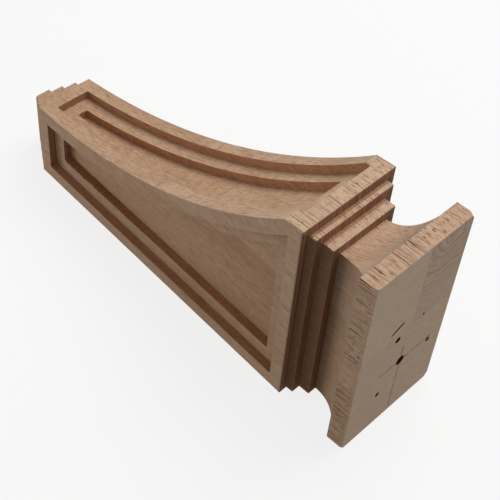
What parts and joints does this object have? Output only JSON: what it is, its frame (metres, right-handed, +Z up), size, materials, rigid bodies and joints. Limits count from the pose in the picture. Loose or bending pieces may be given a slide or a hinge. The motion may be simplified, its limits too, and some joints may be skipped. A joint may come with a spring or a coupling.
{
  "type": "wooden corbel bracket",
  "caption": "Carved hardwood corbel with a coved top plate, stepped neck, concave tapering front and sunk double-step panels, fixed by its flat back to a wall to carry a shelf or mantel",
  "frame": {"origin": "centre of the flat back face, the face that lies on the wall", "axes": "+Z up toward the top plate, +Y back into the wall so the carved front faces -Y, +X along the width"},
  "size_m": [0.086, 0.1545, 0.351],
  "materials": {
    "wood": "sanded, unfinished"
  },
  "bodies": {
    "root": {"corbel": "wood"}
  },
  "joints": []
}
